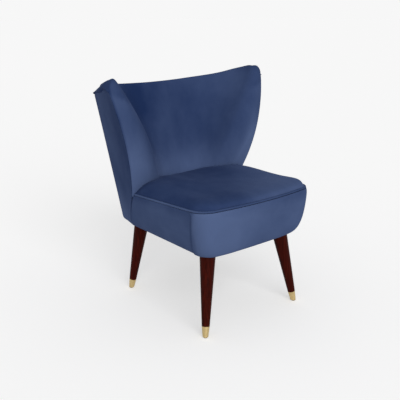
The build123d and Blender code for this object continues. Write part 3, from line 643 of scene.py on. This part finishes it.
def inside_back_pile_and_light(v, point):
    x, z = point.x, point.z
    seam = seam_point(min(z, SEAM_TOP))
    from_seam = seam[0] - abs(x)
    on_roll = 1 - rising(from_seam, ROLL_START, RIGHT_ROLL_END if x > 0 else LEFT_ROLL_END)
    hollow = HOLLOW_PILE_AND_LIGHT + HOLLOW_FOOT_PALE * (1 - rising(z, *HOLLOW_FOOT))
    hollow += HOLLOW_RIGHT_PALE * rising(x, *HOLLOW_RIGHT)
    # painted shadow of the left wing over the hollow's upper left
    aside = (x - HOLLOW_SHADE_X) / HOLLOW_SHADE_REACH
    above = (z - HOLLOW_SHADE_Z) / HOLLOW_SHADE_REACH
    hollow -= HOLLOW_SHADE * exp(-(aside**2) - above**2)
    # the roll painted lighter than the hollow, most towards its foot, where the light falls on it
    roll = ROLL_PILE_AND_LIGHT + ROLL_FOOT_PAINTED_LIGHT * (1 - rising(z, *ROLL_FOOT))
    # painted shade on the roll above the dart's fold
    roll -= DART_SHADE * rising(z + DART_SLANT * from_seam, *DART_HEIGHTS)
    pile_light = hollow + (roll - hollow) * on_roll
    # painted shade beside the wing's seam and along the cap's sewn edge
    pile_light -= seam_shade(hypot(from_seam, seam[1] - point.y))
    pile_light -= SEAM_SHADE * rising(v, EDGE_AT - EDGE_SHADE_ROWS, EDGE_AT)
    # painted shade over the sloping top, which faces up
    return pile_light * (1 - TOP_SHADE * rising(v, *TOP_SHADE_ROWS))


@cache
def cap_edge(share):
    # where the inside cover, drawn over the top, is sewn to the outside panel
    z = roof_meets(outer_point, share)[2]
    if share < OUTER_START:
        z -= three_way(CAP_DROP, share / OUTER_START)
    return (*outer_point(z, share), z)


def inside_back_line(share, v):
    # up the inside to the ridge, over the sloping top and a little way down the outside
    edge = Vector(cap_edge(share))
    meet = min(1.0, share / TIP_JOIN)
    ridge = edge.lerp(Vector(roof_meets(inner_point, share)), meet)
    outer = edge.lerp(Vector(roof_meets(outer_point, share)), meet)
    if v <= RIDGE_AT:
        z = INSIDE_BASE + (ridge.z - INSIDE_BASE) * v / RIDGE_AT
        return Vector((*inner_point(z, share), z))
    if v <= OUTER_AT:
        point = ridge.lerp(outer, (v - RIDGE_AT) / (OUTER_AT - RIDGE_AT))
        point.z += (roof_height(point.x, point.y) - point.z) * meet
        return point
    down = min(1.0, (v - OUTER_AT) / (EDGE_AT - OUTER_AT))
    out = Vector((outer.x, 2 * max(0.0, outer.y - CAP_REAR_START), 0.0)).normalized()
    return outer.lerp(edge, down) + out * (CAP_SWELL * sin(pi * down**CAP_LEAN))


def inside_back_place(u, v):
    # that line with its ridge and edges rounded, and tucked in behind its seams
    side, share, tuck = half_share(u, BACK_COLUMNS)
    wing = max(0.0, 1 - share / WING_SHARE)
    reach = RIDGE_REACH + (WING_RIDGE_REACH - RIDGE_REACH) * min(1.0, 2 * wing)
    height = roof_meets(inner_point, share)[2] - INSIDE_BASE
    step = reach / height * RIDGE_AT / 2
    if step < v < EDGE_AT - step:
        point = Vector()
        for offset, weight in RIDGE_WEIGHTS:
            beside = min(EDGE_AT, max(0.0, v + offset * step))
            point += inside_back_line(share, beside) * weight / RIDGE_WEIGHT_SUM
    else:
        point = inside_back_line(share, v)
    if v > EDGE_AT + HAIR:
        point += BACK_EDGE_TUCK
    if tuck:
        point += BACK_SEAM_TUCK
    return drawn_over(point, side)


inside_back = make_piece(
    mapped_grid(BACK_COLUMNS, BACK_ROWS, inside_back_place, inside_back_pile_and_light, sewn=True),
    "inside_back",
    upright_velvet,
    ["inside_back_cover", "back_foam"],
)
settle(inside_back, pressure=3.0, most=1.5)
give_body(inside_back)

# The outside back: one panel round the rear and the outer sides of the wings
PANEL_COLUMNS = 56
PANEL_ROWS = 26
PANEL_TOP_AT = 1 / PANEL_ROWS
PANEL_FOOT_AT = 1 - 2 / PANEL_ROWS
PANEL_BULGE = 1.0
PANEL_HEM_Y = 60.0
PANEL_TOP_TUCK = Vector((-0.6 * SEAM_TUCK, -0.6 * SEAM_TUCK, -0.6 * SEAM_TUCK))
PANEL_SEAM_TUCK = Vector((-SEAM_TUCK, 0.4 * SEAM_TUCK, 0.0))
PANEL_PILE_AND_LIGHT = 0.17
PANEL_MIDDLE_PALE = 0.12
PANEL_MIDDLE = (10.0, 120.0)
PANEL_FOOT_PALE = 0.36
PANEL_FOOT = (290.0, 450.0)


def outside_back_pile_and_light(_, point):
    seam = seam_point(min(point.z, SEAM_TOP))
    from_seam = hypot(seam[0] - abs(point.x), seam[1] - point.y)
    # pile lay mixed with painted light and shade: paler away from the seam and towards the foot,
    # with painted shade beside the seam
    pile_light = PANEL_PILE_AND_LIGHT + PANEL_MIDDLE_PALE * rising(from_seam, *PANEL_MIDDLE)
    pile_light += PANEL_FOOT_PALE * (1 - rising(point.z, *PANEL_FOOT))
    return pile_light - seam_shade(from_seam)


def outside_back_place(u, v):
    # down the outside from the cap's edge, and a hem turned in under the seat
    side, share, tuck = half_share(u, PANEL_COLUMNS)
    top = cap_edge(share)[2]
    down = min(1.0, max(0.0, (v - PANEL_TOP_AT) / (PANEL_FOOT_AT - PANEL_TOP_AT)))
    z = top + (SEAT_UNDERSIDE - top) * down
    point = Vector((*outer_point(z, share), z))
    point.x += PANEL_BULGE * sin(pi * down) * sin(pi * min(1.0, share / (2 * OUTER_START)))
    if v < PANEL_TOP_AT - HAIR:
        point += PANEL_TOP_TUCK
    if v > PANEL_FOOT_AT + HAIR:
        under = (v - PANEL_FOOT_AT) / (1 - PANEL_FOOT_AT) * HEM_WIDTH
        inward = Vector((-point.x, PANEL_HEM_Y - point.y, 0.0)).normalized()
        point += inward * under
    if tuck:
        point += PANEL_SEAM_TUCK
    return drawn_over(point, side)


outside_back = make_piece(
    mapped_grid(PANEL_COLUMNS, PANEL_ROWS, outside_back_place, outside_back_pile_and_light, sewn=True),
    "outside_back",
    upright_velvet,
    ["outside_back_cover", "outside_back_wadding"],
)
settle(outside_back, pressure=3.0, most=2.0)
give_body(outside_back)


# The seat: one outline for every level, from the piping to the underside
def seat_plane_height(y):
    return PIPING_HEIGHT - SEAT_PITCH * y


def level_height(down, y):
    return three_way((seat_plane_height(y), BULGE_HEIGHT, SEAT_UNDERSIDE), down)


def seat_outline(down, share, end_y):
    # right half at a level, 0 at the piping and 1 at the underside:
    # share 0 is the middle of the front, and share 1 is on the side at end_y
    half_width = outline_reach(SEAT_HALF_WIDTH, down)
    front = outline_reach(SEAT_FRONT, down)
    corner = three_way(SEAT_CORNER, down)
    bow = three_way(SEAT_BOW, down)
    centre = bow - front
    reach = half_width - corner
    corner_y = centre - sqrt((bow - corner) ** 2 - reach**2)
    sweep = asin(reach / (bow - corner))
    turn = pi / 2 - sweep
    lengths = (bow * sweep, corner * turn, abs(end_y - corner_y))
    run = share * sum(lengths)
    if run <= lengths[0]:
        angle = run / bow
        return (bow * sin(angle), centre - bow * cos(angle))
    run -= lengths[0]
    if run <= lengths[1]:
        angle = sweep + run / corner
        return (reach + corner * sin(angle), corner_y - corner * cos(angle))
    return (half_width, corner_y + run - lengths[1])


# The seat's top, crowned over its springs
SEAT_CELLS = 44
CORNER_SHARE = 0.5
ACROSS_GATHER = 1.5
LENGTH_GATHER = 1.4
NARROWING_AHEAD = 20.0
SEAT_CROWN = 27.5
CROWN_REACH = 50.0
CROWN_FULLNESS = 2.8
EDGE_RISE = 3.0
SIDE_LIFT = 15.0
SIDE_LIFT_X = (15.0, 135.0)
SIDE_LIFT_Y = (-210.0, -10.0)
PIPING_GROOVE = 4.5
JUNCTION_HEIGHT = 425.0
JUNCTION_STEPS = 18
CREASE_DEPTH = 10.0
CREASE_REACH = 10.0
CREASE_END = 40.0
SEAT_PILE_AND_SHADE = 0.1
SEAT_CORNER_PAINTED_LIGHT = 0.42
SEAT_LIGHT_WAY = (0.77, -0.64)
SEAT_PALING = (10.0, 290.0)


def seat_top_pile_and_light(_, point):
    # painted shade over the whole top, paler towards the front right corner as painted light
    towards = SEAT_LIGHT_WAY[0] * point.x + SEAT_LIGHT_WAY[1] * point.y
    return SEAT_PILE_AND_SHADE + SEAT_CORNER_PAINTED_LIGHT * rising(towards, *SEAT_PALING)


def edge_distance(x, y):
    # how far a point of the seat's top lies inside the piping's line
    bow, corner = SEAT_BOW[0], SEAT_CORNER[0]
    from_side = SEAT_HALF_WIDTH[0] - abs(x)
    centre = bow - SEAT_FRONT[0]
    from_front = bow - sqrt(x * x + (y - centre) ** 2)
    if from_side < corner and from_front < corner:
        return corner - sqrt((corner - from_side) ** 2 + (corner - from_front) ** 2)
    return min(from_side, from_front)


def crown_height(x, y):
    # full at the edges, and fuller still at the rear of both sides
    inside = max(0.0, edge_distance(x, y))
    across = min(1.0, inside / CROWN_REACH)
    rise = sqrt(1 - (1 - across) ** CROWN_FULLNESS)
    height = EDGE_RISE + (SEAT_CROWN - EDGE_RISE) * rise
    return height + SIDE_LIFT * across * rising(abs(x), *SIDE_LIFT_X) * rising(y, *SIDE_LIFT_Y)


def back_line(x):
    # how far back the inside back stands above the seat, at a distance from the middle
    low, high = 0.0, 1.0
    for _ in range(JUNCTION_STEPS):
        share = (low + high) / 2
        if inner_plan(JUNCTION_HEIGHT, share)[0] > x:
            low = share
        else:
            high = share
    return inner_plan(JUNCTION_HEIGHT, (low + high) / 2)[1]


def seat_plan(u, v):
    # the seat's top as a patch between its front, its two sides and its rear edge
    side = 1 if u >= 0.5 else -1
    away = abs(2 * u - 1)
    front = Vector(seat_outline(0.0, away * CORNER_SHARE, SEAT_REAR))
    flank = Vector(seat_outline(0.0, CORNER_SHARE + v * (1 - CORNER_SHARE), SEAT_REAR))
    rear = Vector((away * SEAT_HALF_WIDTH[0], SEAT_REAR))
    front_middle = Vector(seat_outline(0.0, 0.0, SEAT_REAR))
    front_corner = Vector(seat_outline(0.0, CORNER_SHARE, SEAT_REAR))
    rear_middle = Vector((0.0, SEAT_REAR))
    rear_corner = Vector((SEAT_HALF_WIDTH[0], SEAT_REAR))
    middle = front_middle.lerp(rear_middle, v)
    along = front.lerp(rear, v) + middle.lerp(flank, away)
    near = front_middle.lerp(front_corner, away)
    far = rear_middle.lerp(rear_corner, away)
    point = along - near.lerp(far, v)
    narrowing = rising(point.y, WING_SEAM[0] - NARROWING_AHEAD, SEAT_REAR)
    half_width = SEAT_HALF_WIDTH[0] + narrowing * (SEAT_REAR_HALF_WIDTH - SEAT_HALF_WIDTH[0])
    return point.x * side * half_width / SEAT_HALF_WIDTH[0], point.y


def seat_top_place(u, v):
    # the rows and columns stand closer towards the piping, the border sits behind the cord,
    # and the cover is creased down where it meets the back
    across = 2 * u - 1
    across = (1 - (1 - abs(across)) ** ACROSS_GATHER) * (1 if across > 0 else -1)
    x, y = seat_plan((across + 1) / 2, v**LENGTH_GATHER)
    z = seat_plane_height(y) + crown_height(x, y)
    x *= 1 - PIPING_GROOVE / SEAT_HALF_WIDTH[0]
    y = SEAT_REAR + (y - SEAT_REAR) * (1 - PIPING_GROOVE / (SEAT_REAR + SEAT_FRONT[0]))
    gap = back_line(min(abs(x), SEAT_HALF_WIDTH[0] - 1)) - y
    if gap < CREASE_END:
        z -= CREASE_DEPTH * exp(-max(gap, 0.0) / CREASE_REACH)
    return Vector((x, y, z))


seat_top = make_piece(
    mapped_grid(SEAT_CELLS, SEAT_CELLS, seat_top_place, seat_top_pile_and_light),
    "seat_top",
    seat_top_velvet,
    ["seat_top_cover", "seat_foam", "seat_edge_padding", "seat_deck_felt"],
)
settle(seat_top, pressure=4.0, most=3.0)
give_body(seat_top)

# The boxing: a front panel past both corners, and a panel on each side
BOXING_ROWS = 14
FRONT_COLUMNS = 64
SIDE_COLUMNS = 30
BOXING_FOOT_AT = 1 - 2 / BOXING_ROWS
BOXING_SET_IN = 2.5
BOXING_SET_DOWN = 3.0
FOOT_ROUNDING = 3.0
FOOT_RISE = 0.75
CORNER_LIFT = 3.0
CORNER_LIFT_X = (110.0, 200.0)
CORNER_LIFT_Y = (200.0, 270.0)
HEM_LEAN = 0.6
HEM_SHIFT = 20.0
SIDE_BULGE = 1.5
FRONT_SEAM_TUCK = Vector((-SEAM_TUCK, 0.5 * SEAM_TUCK, 0.0))
BOXING_PILE_AND_LIGHT = 0.46
FRONT_PAINTED_LIGHT = 0.08
FRONT_TURN = (225.0, 262.0)
FRONT_LEFT_PAINTED_LIGHT = 0.35
FRONT_LEFT = (-220.0, 60.0)
UNDER_PIPING_SHADE = 0.16
UNDER_PIPING_ROWS = (0.02, 0.22)


def boxing_pile_and_light(v, point):
    # the front painted lighter than the sides, most on its left, where the light falls
    front = rising(-point.y, *FRONT_TURN)
    left = 1 - rising(point.x, *FRONT_LEFT)
    pile_light = BOXING_PILE_AND_LIGHT + front * (FRONT_PAINTED_LIGHT + FRONT_LEFT_PAINTED_LIGHT * left)
    corner_seam = three_way(CORNER_SEAM, min(1.0, v / BOXING_FOOT_AT))
    # painted shade beside the corner seam
    pile_light -= seam_shade(abs(point.y - corner_seam))
    # painted shadow under the piping
    return pile_light - UNDER_PIPING_SHADE * (1 - rising(v, *UNDER_PIPING_ROWS))


def boxing_rows(v):
    # how far down the boxing a row lies, and then how far under the seat
    down = min(1.0, v / BOXING_FOOT_AT)
    under = max(0.0, v - BOXING_FOOT_AT) / (1 - BOXING_FOOT_AT) * HEM_WIDTH
    return down, under


def front_boxing_point(share, down, end_y, under):
    x, y = seat_outline(down, share, end_y)
    point = Vector((x, y, level_height(down, y)))
    inward = Vector((-x, -y, 0.0)).normalized()
    if down == 0:
        point += inward * BOXING_SET_IN - Vector((0.0, 0.0, BOXING_SET_DOWN))
    if down == 1:
        point += inward * FOOT_ROUNDING
        point.z += FOOT_RISE if under == 0 else 0.0
    lifted = CORNER_LIFT * rising(abs(x), *CORNER_LIFT_X) * rising(-y, *CORNER_LIFT_Y)
    point.z += lifted * down**FOOT_FALL * (1 - under / HEM_WIDTH)
    if under > 0:
        hem_way = Vector((-x, -y * HEM_LEAN - HEM_SHIFT, 0.0)).normalized()
        point += hem_way * under
    return point


def front_boxing_place(u, v):
    side, share, tuck = half_share(u, FRONT_COLUMNS)
    down, under = boxing_rows(v)
    point = front_boxing_point(1 - share, down, three_way(CORNER_SEAM, down), under)
    if tuck:
        point += FRONT_SEAM_TUCK
    return sided(point, side)


def side_boxing_place(side):
    def place(u, v):
        down, under = boxing_rows(v)
        start_y = three_way(CORNER_SEAM, down)
        end_y = three_way(WING_SEAM, down)
        step = 1 / SIDE_COLUMNS
        along = min(1.0, max(0.0, (u - step) / (1 - 2 * step)))
        y = start_y + along * (end_y - start_y)
        point = Vector((outline_reach(SEAT_HALF_WIDTH, down), y, level_height(down, y)))
        point.x += SIDE_BULGE * sin(pi * along) * sin(pi * down)
        if down == 0:
            point += Vector((-BOXING_SET_IN, 0.0, -BOXING_SET_DOWN))
        if down == 1:
            point.x -= FOOT_ROUNDING
            point.z += FOOT_RISE if under == 0 else 0.0
        point.x -= under
        if u < step - HAIR or u > 1 - step + HAIR:
            point.x -= SEAM_TUCK
        return sided(point, side)

    return place


front_boxing = make_piece(
    mapped_grid(FRONT_COLUMNS, BOXING_ROWS, front_boxing_place, boxing_pile_and_light, sewn=True),
    "front_boxing",
    boxing_velvet,
    ["seat_front_boxing"],
)
settle(front_boxing, pressure=3.0, most=2.5)
give_body(front_boxing)
for label, side in (("left", -1), ("right", 1)):
    side_boxing = make_piece(
        mapped_grid(SIDE_COLUMNS, BOXING_ROWS, side_boxing_place(side), boxing_pile_and_light, sewn=True),
        f"{label}_boxing",
        boxing_velvet,
        [f"{label}_side_boxing"],
    )
    settle(side_boxing, pressure=3.0, most=2.5)
    give_body(side_boxing)

# The piping: a covered cord sewn into the seat's edge, round the front and both sides
PIPING_COLUMNS = 150
PIPING_SIDES = 10
PIPING_RADIUS = 3.6
PIPING_SET_IN = 4.5
PIPING_END = WING_SEAM[0] + 2.0
PIPING_STEP = 0.002
PIPING_LEVELS = 1
PIPING_PAINTED_HIGHLIGHT = 0.6
PIPING_FRONT_SHADE = 0.3
PIPING_FRONT = (230.0, 290.0)


def piping_pile_and_light(_, point):
    # a painted highlight along the cord, with painted shade on its front
    return PIPING_PAINTED_HIGHLIGHT - PIPING_FRONT_SHADE * rising(-point.y, *PIPING_FRONT)


def piping_place(u, v):
    side = 1 if u >= 0.5 else -1
    share = abs(2 * u - 1)
    x, y = seat_outline(0.0, share, PIPING_END)
    ahead = seat_outline(0.0, min(1.0, share + PIPING_STEP), PIPING_END)
    before = seat_outline(0.0, max(0.0, share - PIPING_STEP), PIPING_END)
    out = Vector((ahead[1] - before[1], before[0] - ahead[0], 0.0)).normalized()
    angle = 2 * pi * v
    point = Vector((x, y, seat_plane_height(y)))
    point += out * (PIPING_RADIUS * cos(angle) - PIPING_SET_IN)
    point.z += PIPING_RADIUS * sin(angle)
    return sided(point, side)


seat_piping = make_piece(
    mapped_grid(PIPING_COLUMNS, PIPING_SIDES, piping_place, piping_pile_and_light),
    "seat_piping_cord",
    boxing_velvet,
    ["seat_piping"],
)
round_off(seat_piping, PIPING_LEVELS)

# The dust cloth under the seat, drawn tight between its staples
dust_low, dust_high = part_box("dust_cover")
CLOTH_COLUMNS = 40
CLOTH_ROWS = 50
CLOTH_THICKNESS = 0.8
CLOTH_LEVELS = 1
CLOTH_SAG = 2.5
CLOTH_RIPPLE = 0.5
RIPPLE_SCALE = 0.03
CLOTH_EDGE = 12


def dust_cloth_place(u, v):
    x = (dust_low.x + u * (dust_high.x - dust_low.x)) / MM
    y = (dust_low.y + v * (dust_high.y - dust_low.y)) / MM
    z = dust_high.z / MM
    sag = CLOTH_SAG * sin(pi * u) * sin(pi * v)
    ripple = CLOTH_RIPPLE * noise.noise(Vector((x * RIPPLE_SCALE, y * RIPPLE_SCALE, 0.0)))
    edge = min(u, 1 - u, v, 1 - v)
    return Vector((x, y, z - (sag + ripple) * min(1.0, edge * CLOTH_EDGE)))


dust_cloth = make_piece(
    mapped_grid(CLOTH_COLUMNS, CLOTH_ROWS, dust_cloth_place),
    "dust_cloth",
    black_cloth,
    ["dust_cover"],
)
give_body(dust_cloth, CLOTH_THICKNESS, CLOTH_LEVELS)

# Finishes of the solids that stay as they are, by the start of their names, the first that fits
finishes = {
    "leg_bolts": zinc_steel,
    "leg_tee_nuts": zinc_steel,
    "leg_": mahogany,
    "ferrule_": brass,
    "glide_": black_nylon,
    "seat_spring_": zinc_steel,
    "spring_clips": zinc_steel,
    "corner_block_screws": zinc_steel,
    "dust_cover_staples": zinc_steel,
    "back_strap_": jute_webbing,
}
for name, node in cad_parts.items():
    material = next((m for start, m in finishes.items() if name.startswith(start)), sawn_wood)
    node.data.materials.clear()
    node.data.materials.append(material)

# Floor and room, seen pale, with a plain light on the chair
scene.view_settings.view_transform = "Standard"
PALE = (0.93, 0.93, 0.93, 1.0)
FLOOR_GREY = (0.75, 0.75, 0.75, 1.0)
FLOOR_HALF_SIZE = 60.0
FLOOR_GLOW = 0.372
ROOM_LIGHT = 0.5


def seen_ray(nodes, links):
    # 1 for what the camera sees, also in gloss and glass, and 0 for the light on the chair
    path = nodes.new("ShaderNodeLightPath")
    sight = nodes.new("ShaderNodeMath")
    sight.operation = "MAXIMUM"
    links.new(path.outputs["Is Camera Ray"], sight.inputs[0])
    links.new(path.outputs["Is Glossy Ray"], sight.inputs[1])
    both = nodes.new("ShaderNodeMath")
    both.operation = "MAXIMUM"
    links.new(sight.outputs["Value"], both.inputs[0])
    links.new(path.outputs["Is Transmission Ray"], both.inputs[1])
    return both.outputs["Value"]


floor_mesh = bmesh.new()
bmesh.ops.create_grid(floor_mesh, x_segments=1, y_segments=1, size=FLOOR_HALF_SIZE)
floor_data = bpy.data.meshes.new("floor")
floor_mesh.to_mesh(floor_data)
floor_mesh.free()
floor = bpy.data.objects.new("floor", floor_data)
scene.collection.objects.link(floor)
floor_material, nodes, links, shader = node_material("studio_floor")
shader.inputs["Base Color"].default_value = FLOOR_GREY
shader.inputs["Roughness"].default_value = 1.0
shader.inputs["Specular IOR Level"].default_value = 0.0
shader.inputs["Emission Color"].default_value = WHITE
glow = nodes.new("ShaderNodeMath")
glow.operation = "MULTIPLY"
glow.inputs[1].default_value = FLOOR_GLOW
links.new(seen_ray(nodes, links), glow.inputs[0])
links.new(glow.outputs["Value"], shader.inputs["Emission Strength"])
floor_data.materials.append(floor_material)

world = bpy.data.worlds.new("studio")
scene.world = world
world.use_nodes = True
nodes, links = world.node_tree.nodes, world.node_tree.links
room = nodes["Background"]
room.inputs["Color"].default_value = WHITE
room.inputs["Strength"].default_value = ROOM_LIGHT
shown = nodes.new("ShaderNodeBackground")
shown.inputs["Color"].default_value = PALE
shown.inputs["Strength"].default_value = 1.0
mix = nodes.new("ShaderNodeMixShader")
links.new(seen_ray(nodes, links), mix.inputs["Fac"])
links.new(room.outputs["Background"], mix.inputs[1])
links.new(shown.outputs["Background"], mix.inputs[2])
links.new(mix.outputs["Shader"], nodes["World Output"].inputs["Surface"])

# One broad soft light from the front, a little to the left
KEY_TURN = radians(-22.0)
KEY_RISE = radians(24.0)
KEY_SPREAD = radians(50.0)
KEY_STRENGTH = 1.9
key_lamp = bpy.data.lights.new("key", "SUN")
key_lamp.energy = KEY_STRENGTH
key_lamp.angle = KEY_SPREAD
key_light = bpy.data.objects.new("key", key_lamp)
level = cos(KEY_RISE)
key_way = Vector((sin(KEY_TURN) * level, -cos(KEY_TURN) * level, sin(KEY_RISE)))
key_light.rotation_euler = key_way.to_track_quat("Z", "Y").to_euler()
scene.collection.objects.link(key_light)

# The photograph's viewing angle, in metres
CAMERA_PLACE = Vector((-1.3216, -1.5902, 1.0029))
CAMERA_AIM = Vector((-0.0434, -0.0372, 0.3746))
CAMERA_LENS = 54.7
CAMERA_SENSOR = 36.0
camera_data = bpy.data.cameras.new("camera")
camera_data.lens = CAMERA_LENS
camera_data.sensor_width = CAMERA_SENSOR
camera = bpy.data.objects.new("camera", camera_data)
camera.location = CAMERA_PLACE
camera.rotation_euler = (CAMERA_AIM - CAMERA_PLACE).to_track_quat("-Z", "Y").to_euler()
scene.collection.objects.link(camera)
scene.camera = camera
